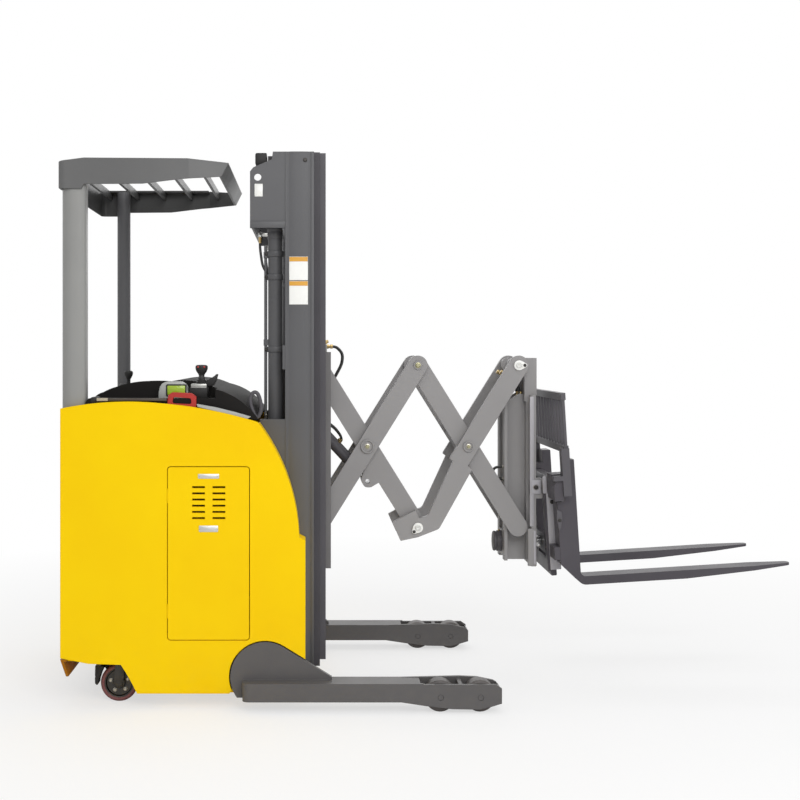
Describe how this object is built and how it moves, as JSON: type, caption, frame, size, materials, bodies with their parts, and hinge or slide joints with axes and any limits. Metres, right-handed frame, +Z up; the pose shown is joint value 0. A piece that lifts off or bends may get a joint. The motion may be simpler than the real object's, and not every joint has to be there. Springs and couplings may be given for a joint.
{
  "type": "stand-on double-reach truck",
  "caption": "Stand-on reach truck: a telescopic mast and a two-stage pantograph that pushes tilting forks out over straddling outriggers",
  "frame": {"origin": "on the floor, under the middle of the whole truck with its forks as parked", "axes": "+X towards the fork tips, +Y to the left of the truck, +Z up"},
  "size_m": [3.0818, 1.25, 2.296],
  "materials": {
    "yellow_paint": "semi-gloss powder coat",
    "dark_grey_paint": "satin powder coat",
    "mid_grey_paint": "satin powder coat",
    "light_grey_paint": "satin powder coat",
    "fork_steel": "black forged steel",
    "mast_grey": "satin powder coat",
    "rod_chrome": "polished",
    "console_plastic": "grained",
    "display_plastic": "smooth",
    "black_plastic": "grained",
    "red_plastic": "smooth",
    "pad_foam": "padded vinyl",
    "wheel_polyurethane": "smooth",
    "drive_rubber": "smooth",
    "battery_case": "painted",
    "valve_steel": "machined"
  },
  "bodies": {
    "chassis": {"chassis_frame": "dark_grey_paint", "right_side_panel": "yellow_paint", "left_side_panel": "yellow_paint", "front_bulkhead": "dark_grey_paint", "operator_partition": "dark_grey_paint", "operator_platform": "black_plastic", "battery": "battery_case", "drive_cabinet": "yellow_paint", "backrest_pad": "pad_foam", "rear_bumper": "yellow_paint", "console_top": "console_plastic", "display_unit": "display_plastic", "joystick": "black_plastic", "emergency_handle": "red_plastic", "overhead_guard": "dark_grey_paint", "guard_post_right": "light_grey_paint", "guard_post_left": "dark_grey_paint", "right_outrigger": "dark_grey_paint", "left_outrigger": "dark_grey_paint", "outer_mast": "mast_grey", "lift_cylinders": "mast_grey"},
    "service_door": {"service_door": "yellow_paint"},
    "steering_wheel": {"steering_wheel": "black_plastic"},
    "right_rear_load_wheel": {"right_rear_load_wheel": "wheel_polyurethane"},
    "left_rear_load_wheel": {"left_rear_load_wheel": "wheel_polyurethane"},
    "right_front_load_wheel": {"right_front_load_wheel": "wheel_polyurethane"},
    "left_front_load_wheel": {"left_front_load_wheel": "wheel_polyurethane"},
    "caster_bracket": {"caster_bracket": "dark_grey_paint"},
    "caster_wheel": {"caster_wheel": "wheel_polyurethane"},
    "drive_unit": {"drive_unit": "dark_grey_paint"},
    "drive_wheel": {"drive_wheel": "drive_rubber"},
    "middle_mast": {"middle_mast": "mast_grey", "lift_rods": "rod_chrome"},
    "inner_mast": {"inner_mast": "mast_grey"},
    "reach_base": {"reach_base": "mid_grey_paint", "valve_block": "valve_steel"},
    "first_upper_link": {"first_upper_link": "mid_grey_paint"},
    "first_lower_link": {"first_lower_link": "mid_grey_paint"},
    "second_upper_link": {"second_upper_link": "mid_grey_paint"},
    "second_lower_link": {"second_lower_link": "mid_grey_paint"},
    "reach_cylinders": {"reach_cylinders": "mid_grey_paint"},
    "reach_rods": {"reach_rods": "rod_chrome"},
    "fork_frame": {"fork_frame": "mid_grey_paint", "tilt_cylinder": "mid_grey_paint"},
    "tilt_rod": {"tilt_rod": "rod_chrome"},
    "fork_carriage": {"fork_carriage": "mid_grey_paint", "load_backrest": "fork_steel", "right_fork": "fork_steel", "left_fork": "fork_steel"}
  },
  "joints": [
    {"name": "mast_lift", "type": "slide", "parent": "chassis", "child": "middle_mast", "axis": [0, 0, 1], "range_m": [0, 1.5]},
    {"name": "inner_mast_lift", "type": "slide", "parent": "middle_mast", "child": "inner_mast", "axis": [0, 0, 1], "range_m": [0, 1.5]},
    {"name": "carriage_lift", "type": "slide", "parent": "inner_mast", "child": "reach_base", "axis": [0, 0, 1], "range_m": [-0.4, 0.85]},
    {"name": "reach", "type": "hinge", "parent": "reach_base", "child": "first_upper_link", "pos_m": [-0.48004, 0, 1.395], "axis": [0, -1, 0], "range_deg": [-20.9, 18.1]},
    {"name": "first_cross", "type": "hinge", "parent": "first_upper_link", "child": "first_lower_link", "pos_m": [-0.25916, 0, 1.04013], "axis": [0, -1, 0], "range_deg": [-36.25, 41.85]},
    {"name": "second_crank", "type": "hinge", "parent": "first_upper_link", "child": "second_upper_link", "pos_m": [-0.03827, 0, 0.68526], "axis": [0, -1, 0], "range_deg": [-36.25, 41.85]},
    {"name": "second_cross", "type": "hinge", "parent": "second_upper_link", "child": "second_lower_link", "pos_m": [0.18262, 0, 1.04013], "axis": [0, -1, 0], "range_deg": [-41.85, 36.25]},
    {"name": "frame_level", "type": "hinge", "parent": "second_upper_link", "child": "fork_frame", "pos_m": [0.40351, 0, 1.395], "axis": [0, -1, 0], "range_deg": [-20.95, 18.15]},
    {"name": "reach_cylinder_swing", "type": "hinge", "parent": "reach_base", "child": "reach_cylinders", "pos_m": [-0.49704, 0, 1.142], "axis": [0, -1, 0], "range_deg": [-30.98, 26.84]},
    {"name": "reach_rod_stroke", "type": "slide", "parent": "reach_cylinders", "child": "reach_rods", "axis": [0.6825, 0, -0.7309], "range_m": [-0.05976, 0.05178]},
    {"name": "fork_tilt", "type": "hinge", "parent": "fork_frame", "child": "fork_carriage", "pos_m": [0.48796, 0, 0.856], "axis": [0, -1, 0], "range_deg": [-6.5, 1.5]},
    {"name": "tilt_rod_stroke", "type": "slide", "parent": "fork_frame", "child": "tilt_rod", "axis": [1, 0, 0], "range_m": [-0.02867, 0.00677]},
    {"name": "door_swing", "type": "hinge", "parent": "chassis", "child": "service_door", "pos_m": [-1.08804, -0.555, 0.278], "axis": [0, 0, -1], "range_deg": [0, 100]},
    {"name": "steering_turn", "type": "hinge", "parent": "chassis", "child": "steering_wheel", "pos_m": [-1.31204, 0.29, 1.289], "axis": [0, 0, 1], "continuous": true},
    {"name": "drive_steer", "type": "hinge", "parent": "chassis", "child": "drive_unit", "pos_m": [-1.23704, 0.3, 0.12], "axis": [0, 0, 1], "range_deg": [-95, 95]},
    {"name": "drive_wheel_spin", "type": "hinge", "parent": "drive_unit", "child": "drive_wheel", "pos_m": [-1.23704, 0.3, 0.12], "axis": [0, 1, 0], "continuous": true},
    {"name": "caster_swivel", "type": "hinge", "parent": "chassis", "child": "caster_bracket", "pos_m": [-1.35704, -0.417, 0.077], "axis": [0, 0, 1], "continuous": true},
    {"name": "caster_wheel_spin", "type": "hinge", "parent": "caster_bracket", "child": "caster_wheel", "pos_m": [-1.30304, -0.417, 0.077], "axis": [0, 1, 0], "continuous": true},
    {"name": "right_rear_load_wheel_spin", "type": "hinge", "parent": "chassis", "child": "right_rear_load_wheel", "pos_m": [0.01596, -0.565, 0.0635], "axis": [0, 1, 0], "continuous": true},
    {"name": "left_rear_load_wheel_spin", "type": "hinge", "parent": "chassis", "child": "left_rear_load_wheel", "pos_m": [0.01596, 0.565, 0.0635], "axis": [0, 1, 0], "continuous": true},
    {"name": "right_front_load_wheel_spin", "type": "hinge", "parent": "chassis", "child": "right_front_load_wheel", "pos_m": [0.17696, -0.565, 0.0635], "axis": [0, 1, 0], "continuous": true},
    {"name": "left_front_load_wheel_spin", "type": "hinge", "parent": "chassis", "child": "left_front_load_wheel", "pos_m": [0.17696, 0.565, 0.0635], "axis": [0, 1, 0], "continuous": true}
  ],
  "couplings": [
    {"joint": "inner_mast_lift", "follows": "mast_lift", "ratio": 1},
    {"joint": "first_cross", "follows": "reach", "ratio": -2},
    {"joint": "second_crank", "follows": "reach", "ratio": -2},
    {"joint": "second_cross", "follows": "reach", "ratio": 2},
    {"joint": "frame_level", "follows": "reach", "ratio": 1},
    {"joint": "reach_cylinder_swing", "follows": "reach", "ratio": 1.48},
    {"joint": "reach_rod_stroke", "follows": "reach", "m_per_rad": 0.16329},
    {"joint": "tilt_rod_stroke", "follows": "fork_tilt", "m_per_rad": 0.251}
  ]
}
